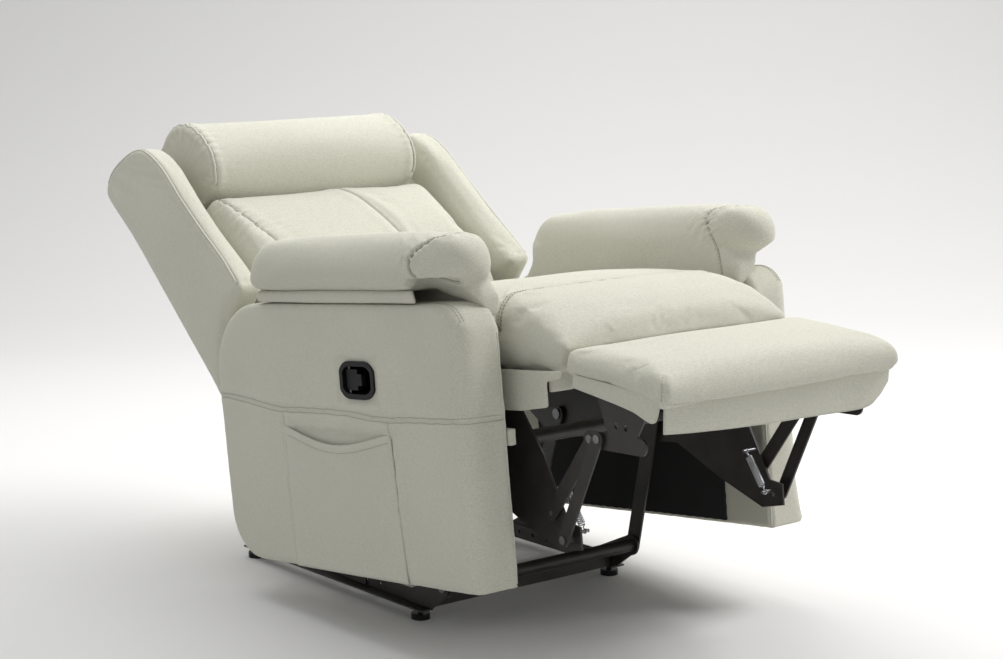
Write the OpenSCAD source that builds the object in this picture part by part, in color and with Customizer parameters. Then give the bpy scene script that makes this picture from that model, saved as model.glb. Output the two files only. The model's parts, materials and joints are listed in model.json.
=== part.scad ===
// Recliner armchair with a swinging floor base, shown fully reclined.
// Millimetres, +X to the sitter's left, +Y towards the back, +Z up.
// The origin is on the floor, in the middle of the open chair's length and width.

/* [Body] */
// Width over the two arm boxes
overall_w = 780; // [760:1:800]
// Thickness of one upholstered arm box
arm_w = 93; // [85:1:95]
// Height of an arm box above its own lower edge
arm_h = 478; // [465:1:485]
// Wall of the arm box's foam and fabric casing
arm_wall = 12; // [8:1:16]
// Half width of the seat and back cushions
cushion_half = 262; // [255:1:264]
// Half width of the headrest bolster
headrest_half = 253; // [245:1:258]
// Half width of the footrest pad
footrest_half = 270; // [262:1:275]

/* [Posture] */
// Lean of the back from the body's upright when fully reclined
back_lean = 42.8; // [42:0.1:44]

/* [Base] */
// Distance between the centres of the left and right feet
foot_span = 458; // [450:2:462]
// Front feet along Y, before the origin shift
foot_front_y = -143.5; // [-150:0.5:-140]
// Rear feet along Y, before the origin shift
foot_rear_y = 396; // [390:1:400]
// Width of the square cross rails
rail_w = 26; // [24:1:28]

/* [Mechanism] */
// Radius of the main pivots
pivot_r = 6; // [5:0.5:6]
// Radial running clearance in a pivot hole
run = 0.05; // [0.03:0.01:0.1]
// Width of the swing links
link_w = 32; // [28:1:34]

/* [Hidden] */
$fn = 48;

// Posture of the open chair, in degrees: tilt of the body, slope of the footrest against it
body_tilt = 6.5;
footrest_pitch = 8.5;
// Front lower corner of the body on the floor frame, open and closed
open_y = -508;
open_z = 150.5;
closed_y = -228;
closed_z = 25;
// Height of a levelling foot under the rails, steel thickness, radius of the footrest pivots
foot_h = 19;
plate_t = 4;
small_r = 4;

arm_out = overall_w / 2;
arm_in = arm_out - arm_w;
origin_y = 38.5;

// Lanes of the mechanism plates, as distances from the middle plane
bracket_x = 222;
swing_x = 227;
seat_plate_x = 235;
long_link_x = 242.5;
foot_bracket_x = 247.5;
short_link_x = 254.5;

// Pivots on the body, in the body's own upright frame
rear_pin = [500, 200];
front_pin = [225, 205];
long_pin = [-30.1, 120];
short_pin = [-69.6, 80];
back_pin = [660, 340];
// The footrest's own corner at the crease, in the body's frame
crease = [-116, 394];
// Pivots on the footrest bracket, in the body's frame when open
long_end = [-145, 250];
short_end = [-170, 252];
// Spring posts and the cross tube, in the body's frame
spring_posts = [[-32, 159], [-72, 88]];
tube_at = [72, 234];

// A point turned by an angle, and a body point carried into the floor frame
function turn(p, a) = [p[0] * cos(a) - p[1] * sin(a), p[0] * sin(a) + p[1] * cos(a)];
function open_at(p) = [open_y, open_z] + turn(p, -body_tilt);
function closed_at(p) = [closed_y, closed_z] + p;
// The base pivot at height z that is equally far from the open and the closed place of p
function base_pivot(p, z) =
    let (o = open_at(p), c = closed_at(p), m = (o + c) / 2, d = c - o)
    [m[0] - (z - m[1]) * d[1] / d[0], z];
function on_footrest(p) = turn(p - crease, -footrest_pitch);

rear_base = base_pivot(rear_pin, 60);
front_base = base_pivot(front_pin, 73);
foot_long = on_footrest(long_end);
foot_short = on_footrest(short_end);

// Points along an arc
function arc(c, r, a0, a1, n = 12) =
    [for (i = [0:n]) c + r * [cos(a0 + (a1 - a0) * i / n), sin(a0 + (a1 - a0) * i / n)]];
// Side outline of an arm box, drawn in by d
function arm_outline(d = 0) = concat(
    [[d, d]],
    arc([645, 92], 92 - d, -90, 0),
    arc([606, arm_h - 140], 140 - d, 0, 90),
    arc([62, arm_h - 58], 58 - d, 90, 176)
);

// Frames of the bodies
module on_base() {
    translate([0, origin_y, 0]) children();
}
module on_body() {
    translate([0, origin_y + open_y, open_z]) rotate([-body_tilt, 0, 0]) children();
}
module on_back() {
    on_body() translate([0, back_pin[0], back_pin[1]]) rotate([-back_lean, 0, 0]) children();
}
module on_footrest_frame() {
    on_body() translate([0, crease[0], crease[1]]) rotate([footrest_pitch, 0, 0]) children();
}
module side(s) {
    if (s > 0) children();
    else mirror([1, 0, 0]) children();
}
module both() {
    side(1) children();
    side(-1) children();
}
// A flat outline in Y and Z, made t thick from x
module slab(x, t) {
    translate([x, 0, 0]) rotate([90, 0, 90]) linear_extrude(t) children();
}
// A round bar along X through the point p
module rod(p, r, x0, x1) {
    translate([x0, p[0], p[1]]) rotate([0, 90, 0]) cylinder(r = r, h = x1 - x0);
}
module box(x0, x1, y0, y1, z0, z1) {
    translate([x0, y0, z0]) cube([x1 - x0, y1 - y0, z1 - z0]);
}
// Flat bar with round ends from p to q
module bar(p, q, w) {
    d = q - p;
    translate(p) circle(w / 2);
    translate(q) circle(w / 2);
    translate((p + q) / 2) rotate(atan2(d[1], d[0])) square([norm(d), w], center = true);
}
module hole(p, r) {
    translate(p) circle(r);
}

// ---- floor base ----
module glide_feet() {
    color("#1b1b1c") on_base() both()
        for (y = [foot_front_y, foot_rear_y]) translate([foot_span / 2, y, 0]) {
            cylinder(r = 17, h = 11);
            cylinder(r = 5, h = foot_h);
        }
}
module base_side_rail(s) {
    color("#202022") on_base() side(s) difference() {
        union() {
            box(219, 222, -168, 418, foot_h, foot_h + 28);
            box(222, 246, -168, 418, foot_h, foot_h + 3);
        }
        for (i = [0:9]) rod([-10 + 42 * i, foot_h + 15], 3.5, 218, 223);
    }
}
module base_cross_rails() {
    color("#202022") on_base() for (y = [foot_front_y, foot_rear_y])
        difference() {
            box(-219, 219, y - rail_w / 2, y + rail_w / 2, foot_h + 1, foot_h + 1 + rail_w);
            box(-220, 220, y - rail_w / 2 + 2, y + rail_w / 2 - 2,
                foot_h + 3, foot_h - 1 + rail_w);
        }
}
module base_brackets(s) {
    color("#242426") on_base() side(s) slab(bracket_x, plate_t) difference() {
        union() {
            translate(front_base) circle(20);
            polygon([[-172, 23], [-105, 23], [-105, 46], front_base + [6, 19],
                     front_base + [-19, -7]]);
            translate(rear_base) circle(19);
            polygon([[30, 23], [150, 23], [150, 46], rear_base + [14, 13],
                     rear_base + [-14, 13], [30, 46]]);
        }
        hole(front_base, pivot_r);
        hole(rear_base, pivot_r);
    }
}
module base_cross_tube() {
    color("#202022") on_base() difference() {
        rod(front_base, 12.5, -bracket_x, bracket_x);
        rod(front_base, 10.5, -bracket_x - 1, bracket_x + 1);
    }
}
module base_rivets() {
    color("#55565a") on_base() both() for (p = [front_base, rear_base]) {
        rod(p, pivot_r, bracket_x, swing_x + plate_t + 0.3);
        rod(p, 10, swing_x + plate_t + 0.3, swing_x + plate_t + 2.8);
    }
}

// ---- swing links ----
module swing_link(s, p, q) {
    color("#242426") on_base() side(s) slab(swing_x, plate_t) difference() {
        bar(p, q, link_w);
        hole(p, pivot_r + run);
        hole(q, pivot_r + run);
    }
}
module rear_link(s) {
    swing_link(s, rear_base, open_at(rear_pin));
}
module rear_torque_tube() {
    d = open_at(rear_pin) - rear_base;
    p = rear_base + 80 * d / norm(d);
    color("#202022") on_base() rod(p, 11, -swing_x, swing_x);
}
module front_link(s) {
    p = front_base;
    q = open_at(front_pin);
    color("#242426") on_base() side(s) slab(swing_x, plate_t) difference() {
        bar(p, q, link_w);
        hole(p, pivot_r + run);
        hole(q, pivot_r);
    }
}
module front_link_pins() {
    p = open_at(front_pin);
    color("#55565a") on_base() both() {
        rod(p, pivot_r, swing_x, seat_plate_x + plate_t + 0.4);
        rod(p, 9, swing_x + plate_t, seat_plate_x - 0.4);
    }
}

// ---- body mechanism ----
module seat_plate(s) {
    // the front pivot is an open slot, because the real loop turns a little unevenly
    slot = [4.6, -1.2];
    color("#242426") on_body() side(s) slab(seat_plate_x, plate_t) difference() {
        polygon([[-92, 62], [-40, 55], [60, 100], [170, 160], [530, 155], [610, 215],
                 [694, 305], [694, 345], [676, 372], [640, 372], [604, 292], [40, 292],
                 [-12, 215], [-52, 128], [-62, 106], [-92, 100]]);
        hole(rear_pin, pivot_r);
        bar(front_pin, front_pin + slot, 2 * pivot_r + 3);
        hole(long_pin, small_r);
        hole(short_pin, small_r);
        hole(back_pin, pivot_r);
        for (y = [90, 310, 420]) hole([y, 262], 7);
    }
}
module seat_plate_rivets() {
    x1 = seat_plate_x + plate_t;
    color("#55565a") on_body() both() {
        for (p = [rear_pin, back_pin]) {
            rod(p, pivot_r, swing_x - 0.3, x1);
            rod(p, 9, swing_x + plate_t + 0.4, seat_plate_x);
            rod(p, 10, swing_x - 2.8, swing_x - 0.3);
        }
        rod(long_pin, small_r, seat_plate_x, long_link_x + plate_t + 0.3);
        rod(long_pin, 7, x1, long_link_x - 0.4);
        rod(short_pin, small_r, seat_plate_x, short_link_x + plate_t + 0.3);
        rod(short_pin, 7, x1, short_link_x - 0.4);
        rod(short_pin, 7, short_link_x + plate_t + 0.3, short_link_x + plate_t + 2.3);
        for (p = spring_posts) rod(p, 3, 204, seat_plate_x);
    }
}
module mechanism_springs() {
    d = spring_posts[1] - spring_posts[0];
    a = spring_posts[0] + 5 * d / norm(d);
    color("silver") on_body() both() translate([212, a[0], a[1]])
        rotate([atan2(d[1], d[0]) - 90, 0, 0]) cylinder(r = 7, h = norm(d) - 10);
}
module seat_cross_tube() {
    color("#202022") on_body() difference() {
        rod(tube_at, 12.5, -seat_plate_x, seat_plate_x);
        rod(tube_at, 10.5, -seat_plate_x - 1, seat_plate_x + 1);
    }
}

// ---- seat ----
module seat_cross_rails() {
    color("#c9a77c") on_body() {
        box(-238, 238, -55, -20, 320, 352);
        box(-238, 238, 565, 600, 293, 352);
    }
}
module seat_side_rails() {
    color("#c9a77c") on_body() both() {
        box(200, 264, 60, 565, 292, 352);
        box(200, 238, -20, 60, 292, 352);
        for (y = [120, 430]) box(270, arm_in - 4, y, y + 60, 296, 350);
    }
}
module seat_webbing() {
    color("#8f8a80") on_body() {
        for (x = [-180:90:180]) box(x - 25, x + 25, -50, 595, 352, 353.5);
        for (y = [60:110:500]) box(-232, 232, y - 25, y + 25, 353.8, 355.3);
    }
}
module seat_cushion() {
    color("#d9d9cc") on_body() slab(-cushion_half, 2 * cushion_half)
        polygon(concat([[-84, 356.5], [-95, 374], [-107, 395], [-70, 440], [-20, 472]],
                       arc([60, 380], 108, 95, 80, 3), [[300, 480], [560, 452]],
                       arc([570, 420], 32, 70, 0, 5), [[602, 356.5]]));
}
module seat_apron() {
    color("#cfcfc2") on_body() {
        both() box(264, 270, -46, 590, 292, 356);
        both() box(281, arm_in, 2, 70, 236, 264);
        box(-255, 255, -62, -56, 322, 356);
    }
}

// ---- arms ----
module arm_shape(s) {
    side(s) difference() {
        slab(arm_in, arm_w) polygon(arm_outline());
        difference() {
            slab(arm_in + arm_wall, arm_w - 2 * arm_wall) polygon(arm_outline(arm_wall));
            if (s < 0) box(arm_in, arm_out, latch_c[0] - 62, latch_c[0] + 62,
                           latch_c[1] - 46, latch_c[1] + 46);
        }
    }
}
// Middle of the latch on the outer face of the right arm, and its sizes
latch_c = [287, 347];
latch_l = 88;
latch_h = 54;
latch_depth = 44;
// The lever's hinge pin: along the body, and out from the middle plane
lever_axis = [latch_c[0] + 31, 384];
module latch_outline(grow) {
    r = latch_h / 2 + grow - 4;
    w = latch_l / 2 + grow - r;
    translate(latch_c) {
        square([2 * w, latch_h + 2 * grow - 8 + 8], center = true);
        for (a = [-w, w]) intersection() {
            translate([a, 0]) circle(r + 4);
            square([latch_l + 2 * grow, latch_h + 2 * grow], center = true);
        }
    }
}
module arm_cover(s) {
    color("#dadacd") on_body() difference() {
        arm_shape(s);
        if (s < 0) side(s) slab(arm_out - latch_depth, latch_depth + 1) latch_outline(0);
    }
}
module arm_frame(s) {
    x0 = arm_in + arm_wall + 0.5;
    x1 = arm_out - arm_wall - 0.5;
    color("#c9a77c") on_body() side(s) {
        box(x0, x1, 18, 54, 14, 418);
        box(x0, x1, 55, 636, 14, 54);
        box(x0, x1, 62, 600, 425, 464);
        box(x0, x1, 400, 440, 55, 424);
        box(x0, x1, 640, 690, 60, 380);
    }
}
module arm_linings() {
    color("#19191a") on_body() both() box(arm_in - 4, arm_in, 112, 640, 8, 300);
}
module arm_boards() {
    color("#cfcfc2") on_body() both() box(300, 386, 107, 585, arm_h, arm_h + 21.5);
}
module arm_pad(s) {
    color("#dadacd") on_body() side(s) slab(272, 126)
        polygon(concat([[107, 500], [585, 500], [602, 512]], arc([556, 536], 46, 10, 70, 5),
                       [[500, 588], [90, 602]], arc([52, 556], 46, 80, 195, 8),
                       [[28, 514], [107, 514]]));
}
module arm_inner_pad(s) {
    color("#dadacd") on_body() side(s) slab(270, 26)
        polygon([[46, 400], [640, 400], [632, 460], [606, 499], [100, 499], [46, 505]]);
}
module side_pocket() {
    inner = [[196, 8], [505, 8], [512, 262], [190, 262]];
    color("#d6d6c9") on_body() side(-1) difference() {
        slab(arm_out, 8) polygon([[182, 2], [519, 2], [526, 256], [360, 232], [202, 254]]);
        slab(arm_out - 1, 7) polygon(inner);
    }
}

// ---- release latch ----
module latch_bezel() {
    color("#17171a") on_body() side(-1) difference() {
        union() {
            slab(arm_out - latch_depth, latch_depth) latch_outline(-0.2);
            slab(arm_out, 3.5) latch_outline(6);
        }
        slab(arm_out - latch_depth + 3, latch_depth + 2) latch_outline(-3);
        translate([lever_axis[1], lever_axis[0], latch_c[1] - 24]) cylinder(r = 2.5, h = 48);
    }
}
module latch_pin() {
    color("#6a6b70") on_body() translate([-lever_axis[1], lever_axis[0], latch_c[1] - 24])
        cylinder(r = 2.5, h = 48);
}
module latch_lever() {
    z0 = latch_c[1] - 18;
    color("#202024") on_body() difference() {
        union() {
            box(-388, -380, latch_c[0] + 4, latch_c[0] + 36, z0, z0 + 36);
            box(-388, -380, latch_c[0] - 8, latch_c[0] + 4, z0 + 8, z0 + 28);
        }
        translate([-lever_axis[1], lever_axis[0], z0 - 1]) cylinder(r = 2.55, h = 40);
    }
}

// ---- footrest linkage ----
module footrest_long_link(s) {
    color("#242426") on_body() side(s) slab(long_link_x, plate_t) difference() {
        bar(long_pin, long_end, 26);
        hole(long_pin, small_r + run);
        hole(long_end, small_r + run);
    }
}
module footrest_short_link(s) {
    color("#242426") on_body() side(s) slab(short_link_x, plate_t) difference() {
        bar(short_pin, short_end, 24);
        hole(short_pin, small_r + run);
        hole(short_end, small_r);
    }
}
module footrest_link_pins() {
    x1 = short_link_x + plate_t;
    color("#55565a") on_body() both() {
        rod(short_end, small_r, foot_bracket_x, x1);
        rod(short_end, 7, x1, x1 + 2);
    }
}
module footrest_bracket(s) {
    p = foot_long;
    q = foot_short;
    color("#242426") on_footrest_frame() side(s) slab(foot_bracket_x, plate_t) difference() {
        union() {
            bar(p, [-168, -128], 28);
            polygon([[-155, -124], [-96, -129], [-60, -56.5], [-190, -56.5]]);
        }
        hole(p, small_r);
        hole(q + [0, 0], small_r + 2.7);
        hole(q + [4.4, -1.3], small_r + 2.8);
        hole(q + [8.8, -2.6], small_r + 2.7);
        for (y = [-112, -134]) hole([y, -104], 5);
    }
}
module footrest_rivets() {
    p = foot_long;
    x0 = long_link_x;
    x1 = foot_bracket_x + plate_t;
    color("#55565a") on_footrest_frame() both() {
        rod(p, small_r, x0, x1);
        rod(p, 7, x0 - 2.2, x0 - 0.3);
        rod(p, 7, x1, x1 + 2);
    }
}
module footrest_board() {
    color("#c9a77c") on_footrest_frame() box(-256, 256, -218, -14, -56.5, -42);
}
module footrest_pad() {
    color("#dadacd") on_footrest_frame() slab(-footrest_half, 2 * footrest_half)
        polygon(concat([[-1, -8], [-1, -40], [-14, -41.5], [-222, -41.5]],
                       arc([-216, -22], 20, 250, 110, 6), [[-200, 0], [-10, 0]]));
}
module footrest_skirt() {
    color("#d0d0c3") on_footrest_frame() {
        both() box(262, 265, -222, -32, -72, -42);
        box(-200, 200, -226, -223, -60, -42);
    }
}

// ---- back ----
module back_bracket(s) {
    color("#242426") on_back() side(s) slab(swing_x, plate_t) difference() {
        union() {
            circle(20);
            polygon([[12, -11], [66, 31], [112, 31], [112, 170], [66, 170], [66, 66],
                     [-14, 12]]);
        }
        hole([0, 0], pivot_r + run);
        for (z = [90, 140]) hole([88, z], 4);
    }
}
module back_uprights() {
    color("#c9a77c") on_back() both() box(231, 270, 62, 136, -30, 590);
}
module back_rails() {
    color("#c9a77c") on_back() for (z = [-30, 530]) box(-231, 231, 72, 136, z, z + 60);
}
module back_webbing() {
    color("#8f8a80") on_back() for (z = [60:100:460]) box(-226, 226, 62, 64, z, z + 50);
}
module wing_cleats() {
    color("#c9a77c") on_back() both() box(270.5, 297.5, 30, 125, 150, 570);
}
module wing(s) {
    color("#dadacd") on_back() side(s) slab(298, 56)
        polygon([[136, -12], [136, 606], [126, 620], [91, 624], [36, 611], [-14, 585],
                 [-40, 552], [-60, 490], [-64, 398], [-71, 311], [-82, 230], [-84, 142],
                 [-60, 132], [0, 122], [55, 89], [100, 46]]);
}
module back_cushion() {
    color("#dadacd") on_back() difference() {
        slab(-cushion_half, 2 * cushion_half)
            polygon([[60, -8], [60, 415], [-24, 415], [-50, 362], [-70, 287], [-78, 207],
                     [-74, 150], [-60, 100], [-34, 40], [-6, -8]]);
        both() box(214, cushion_half + 1, -80, 61, -9, 70);
    }
}
module headrest() {
    color("#dadacd") on_back() slab(-headrest_half, 2 * headrest_half)
        polygon([[60, 418], [60, 632], [-5, 632], [-56, 610], [-92, 565], [-104, 515],
                 [-94, 462], [-48, 420], [-20, 418]]);
}
module back_panel() {
    color("#dadacd") on_back() {
        box(-354, 354, 136.5, 143, -14, 612);
        box(-286, 286, 136.5, 143, -60, -14);
    }
}

glide_feet();
base_side_rail(1);  // base_side_rail_left
base_side_rail(-1);  // base_side_rail_right
base_cross_rails();
base_brackets(1);  // base_brackets_left
base_brackets(-1);  // base_brackets_right
base_cross_tube();
base_rivets();
rear_link(1);  // rear_link_left
rear_link(-1);  // rear_link_right
rear_torque_tube();
front_link(1);  // front_link_left
front_link(-1);  // front_link_right
front_link_pins();
seat_plate(1);  // seat_plate_left
seat_plate(-1);  // seat_plate_right
seat_plate_rivets();
mechanism_springs();
seat_cross_tube();
seat_cross_rails();
seat_side_rails();
seat_webbing();
seat_cushion();
seat_apron();
arm_cover(1);  // arm_cover_left
arm_cover(-1);  // arm_cover_right
arm_frame(1);  // arm_frame_left
arm_frame(-1);  // arm_frame_right
arm_linings();
arm_boards();
arm_pad(1);  // arm_pad_left
arm_pad(-1);  // arm_pad_right
arm_inner_pad(1);  // arm_inner_pad_left
arm_inner_pad(-1);  // arm_inner_pad_right
side_pocket();
latch_bezel();
latch_pin();
latch_lever();
footrest_long_link(1);  // footrest_long_link_left
footrest_long_link(-1);  // footrest_long_link_right
footrest_short_link(1);  // footrest_short_link_left
footrest_short_link(-1);  // footrest_short_link_right
footrest_link_pins();
footrest_bracket(1);  // footrest_bracket_left
footrest_bracket(-1);  // footrest_bracket_right
footrest_rivets();
footrest_board();
footrest_pad();
footrest_skirt();
back_bracket(1);  // back_bracket_left
back_bracket(-1);  // back_bracket_right
back_uprights();
back_rails();
back_webbing();
wing_cleats();
wing(1);  // wing_left
wing(-1);  // wing_right
back_cushion();
headrest();
back_panel();
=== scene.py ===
import json
import math

import bmesh
import bpy
import numpy as np
from mathutils import Matrix, Vector, noise
from mathutils.bvhtree import BVHTree
from mathutils.kdtree import KDTree


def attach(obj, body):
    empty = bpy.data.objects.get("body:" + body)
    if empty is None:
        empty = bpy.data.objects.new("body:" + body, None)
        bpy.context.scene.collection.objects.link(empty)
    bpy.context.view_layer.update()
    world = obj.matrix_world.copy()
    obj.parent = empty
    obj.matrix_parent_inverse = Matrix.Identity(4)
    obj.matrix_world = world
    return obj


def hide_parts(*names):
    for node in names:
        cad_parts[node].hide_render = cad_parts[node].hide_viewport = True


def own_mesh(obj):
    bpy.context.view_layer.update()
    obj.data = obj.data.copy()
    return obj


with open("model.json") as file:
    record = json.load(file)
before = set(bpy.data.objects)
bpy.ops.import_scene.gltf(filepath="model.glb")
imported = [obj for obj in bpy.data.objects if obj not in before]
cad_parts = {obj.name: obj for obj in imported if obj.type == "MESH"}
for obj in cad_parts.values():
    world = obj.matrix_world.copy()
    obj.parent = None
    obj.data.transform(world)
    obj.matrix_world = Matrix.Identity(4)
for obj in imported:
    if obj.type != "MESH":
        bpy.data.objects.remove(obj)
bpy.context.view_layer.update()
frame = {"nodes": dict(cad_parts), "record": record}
NODES = frame["nodes"]
MM = 0.001


# ---- frames of the tilted bodies, in metres, as the CAD source states them ----
def tilted(parent, y, z, degrees):
    """A body's frame, y and z millimetres from its parent's origin and turned about X."""
    turn = Matrix.Rotation(math.radians(degrees), 4, "X")
    return parent @ Matrix.Translation((0, y * MM, z * MM)) @ turn


BODY = tilted(Matrix.Identity(4), 38.5 - 508, 150.5, -6.5)
BACK = tilted(BODY, 660, 340, -42.8)
FOOT = tilted(BODY, -116, 394, 8.5)

# ---- driving sizes in millimetres; the chair's right side is at negative X ----
ARM_OUT, ARM_IN = -390, -297
WING_OUT, WING_IN = -353, -299
SEAT_HALF, HEAD_HALF, REST_HALF, PANEL_HALF = 262, 253, 270, 297.5
LATCH_Y, LATCH_Z = 287, 347
POCKET_FOOT, POCKET_TOP, POCKET_DIP = 3.5, 258, 26


# ---- camera and light ----
HEADING = math.radians(-39.42)


def add_object(name, data):
    """A new object in the scene's collection."""
    obj = bpy.data.objects.new(name, data)
    bpy.context.scene.collection.objects.link(obj)
    return obj


def add_camera():
    data = bpy.data.cameras.new("camera")
    data.lens = 77.57
    data.sensor_width = 36
    data.shift_x = -0.0048
    data.shift_y = 0.0343
    data.clip_end = 60
    cam = add_object("camera", data)
    cam.location = (-2.4966, -3.1073, 1.1538)
    cam.rotation_euler = (math.radians(90 - 10.355), 0, HEADING)
    bpy.context.scene.camera = cam


def area_light(name, location, target, size, power, colour):
    data = bpy.data.lights.new(name, "AREA")
    data.shape = "RECTANGLE"
    data.size, data.size_y = size
    data.energy = power
    data.color = colour
    lamp = add_object(name, data)
    lamp.location = location
    aim = Vector(target) - Vector(location)
    lamp.rotation_euler = aim.to_track_quat("-Z", "Y").to_euler()


def add_stage():
    """Studio light, and a floor that bends up into a wall behind the chair."""
    world = bpy.data.worlds.new("studio")
    bpy.context.scene.world = world
    world.use_nodes = True
    background = world.node_tree.nodes["Background"]
    background.inputs["Color"].default_value = (0.875, 0.88, 0.88, 1)
    background.inputs["Strength"].default_value = 0.63
    area_light("key", (2.8, -1.1, 3.2), (0, 0, 0.4), (2.2, 2.0), 140, (1.0, 0.99, 0.975))
    area_light("top", (0.3, 1.5, 3.2), (0, 0.1, 0.4), (3.0, 2.4), 72, (1.0, 1.0, 0.99))
    bpy.context.scene.view_settings.view_transform = "Standard"
    half_width, flat_end, bend = 14, 2.6, 2.2
    profile = [(-14.0, 0.0), (flat_end, 0.0)]
    for degrees in range(10, 91, 10):
        w = math.radians(degrees)
        profile.append((flat_end + bend * math.sin(w), bend - bend * math.cos(w)))
    profile.append((4.8, 9.0))
    turn = Matrix.Rotation(HEADING, 4, "Z")
    points = [turn @ Vector((x, y, z)) for y, z in profile for x in (-half_width, half_width)]
    mesh = bpy.data.meshes.new("floor")
    mesh.from_pydata(points, [], [(2 * i, 2 * i + 1, 2 * i + 3, 2 * i + 2)
                                  for i in range(len(profile) - 1)])
    mesh.shade_smooth()
    floor = add_object("floor", mesh)
    mat = bpy.data.materials.new("floor")
    mat.use_nodes = True
    shader = mat.node_tree.nodes["Principled BSDF"]
    shader.inputs["Base Color"].default_value = (0.74, 0.735, 0.73, 1)
    shader.inputs["Roughness"].default_value = 0.75
    floor.data.materials.append(mat)


add_camera()
add_stage()


# ---- materials ----
class Graph:
    """Small helper that adds nodes to a material and links them."""

    def __init__(self, name):
        self.mat = bpy.data.materials.new(name)
        self.mat.use_nodes = True
        self.tree = self.mat.node_tree
        self.shader = self.tree.nodes["Principled BSDF"]
        self.place = self.add("ShaderNodeTexCoord").outputs["Object"]

    def add(self, kind, **settings):
        node = self.tree.nodes.new(kind)
        for key, value in settings.items():
            if key in node.inputs:
                node.inputs[key].default_value = value
            else:
                setattr(node, key, value)
        return node

    def link(self, a, b):
        self.tree.links.new(a, b)

    def stretched(self, scale):
        node = self.add("ShaderNodeMapping")
        node.inputs["Scale"].default_value = scale
        self.link(self.place, node.inputs["Vector"])
        return node.outputs["Vector"]

    def noise(self, scale, detail=2.0, rough=0.5, vector=None):
        node = self.add("ShaderNodeTexNoise", Scale=scale, Detail=detail, Roughness=rough)
        self.link(vector or self.place, node.inputs["Vector"])
        return node.outputs["Fac"]

    def bands(self, slant, scale):
        node = self.add("ShaderNodeTexWave", Scale=scale, Distortion=0.9)
        node.bands_direction = "DIAGONAL"
        node.inputs["Detail"].default_value = 1.0
        node.inputs["Detail Scale"].default_value = 2.0
        self.link(self.stretched(slant), node.inputs["Vector"])
        return node.outputs["Fac"]

    def math(self, operation, a, b):
        node = self.add("ShaderNodeMath", operation=operation)
        for i, value in enumerate((a, b)):
            if isinstance(value, (int, float)):
                node.inputs[i].default_value = value
            else:
                self.link(value, node.inputs[i])
        return node.outputs[0]

    def ramp(self, fac, stops):
        node = self.add("ShaderNodeValToRGB")
        ramp = node.color_ramp
        while len(ramp.elements) < len(stops):
            ramp.elements.new(0.5)
        for element, (at, colour) in zip(ramp.elements, stops):
            element.position = at
            element.color = (*colour, 1)
        self.link(fac, node.inputs["Fac"])
        return node.outputs["Color"]

    def bump(self, height, strength, distance):
        node = self.add("ShaderNodeBump", Strength=strength, Distance=distance)
        self.link(height, node.inputs["Height"])
        self.link(node.outputs["Normal"], self.shader.inputs["Normal"])


def shade(colour, k):
    return tuple(c * k for c in colour)


def fabric(name, colour, thread=430.0, sheen=0.35):
    """Woven cloth: crossing threads, slubs, and a faint uneven tone."""
    g = Graph(name)
    warp = g.bands((1.0, 1.0, 0.0), thread)
    weft = g.bands((0.15, 0.7, 1.0), thread)
    cross = g.math("MULTIPLY", warp, weft)
    slub = g.noise(430.0, 3.0, 0.7, g.stretched((0.4, 0.8, 1.9)))
    fine = g.noise(1100.0, 2.0, 0.75)
    wide = g.noise(5.0, 2.0, 0.5)
    tone = g.math("ADD", g.math("MULTIPLY", slub, 0.5), g.math("MULTIPLY", fine, 0.5))
    tone = g.math("ADD", tone, g.math("MULTIPLY", g.math("SUBTRACT", wide, 0.5), 0.08))
    colours = g.ramp(tone, [(0.36, shade(colour, 0.79)), (0.50, shade(colour, 0.98)),
                            (0.64, shade(colour, 1.13))])
    g.link(colours, g.shader.inputs["Base Color"])
    g.shader.inputs["Roughness"].default_value = 0.92
    g.shader.inputs["Specular IOR Level"].default_value = 0.25
    g.shader.inputs["Sheen Weight"].default_value = sheen
    g.shader.inputs["Sheen Roughness"].default_value = 0.5
    g.shader.inputs["Sheen Tint"].default_value = (1.0, 0.99, 0.95, 1)
    height = g.math("ADD", g.math("MULTIPLY", cross, 0.5), g.math("MULTIPLY", slub, 0.8))
    g.bump(height, 0.6, 0.0013)
    return g.mat


def painted(name, colour, rough=0.42, metallic=0.0, grain=900.0, specular=0.5):
    """Powder-coated steel or moulded plastic: fine orange peel and worn tone."""
    g = Graph(name)
    peel = g.noise(grain, 2.0, 0.6)
    wear = g.noise(28.0, 4.0, 0.6)
    g.link(g.ramp(wear, [(0.35, shade(colour, 0.75)), (0.7, shade(colour, 1.35))]),
           g.shader.inputs["Base Color"])
    g.shader.inputs["Metallic"].default_value = metallic
    g.shader.inputs["Specular IOR Level"].default_value = specular
    span = g.add("ShaderNodeMapRange")
    span.inputs["To Min"].default_value = rough - 0.07
    span.inputs["To Max"].default_value = rough + 0.12
    g.link(wear, span.inputs["Value"])
    g.link(span.outputs["Result"], g.shader.inputs["Roughness"])
    g.bump(peel, 0.25, 0.0004)
    return g.mat


def wood(name, colour):
    """Sawn timber with its rings drawn out along the board."""
    g = Graph(name)
    rings = g.noise(26.0, 5.0, 0.6, g.stretched((1.0, 0.12, 1.0)))
    g.link(g.ramp(rings, [(0.35, shade(colour, 0.62)), (0.65, colour)]),
           g.shader.inputs["Base Color"])
    g.shader.inputs["Roughness"].default_value = 0.7
    g.bump(rings, 0.3, 0.0008)
    return g.mat


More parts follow.
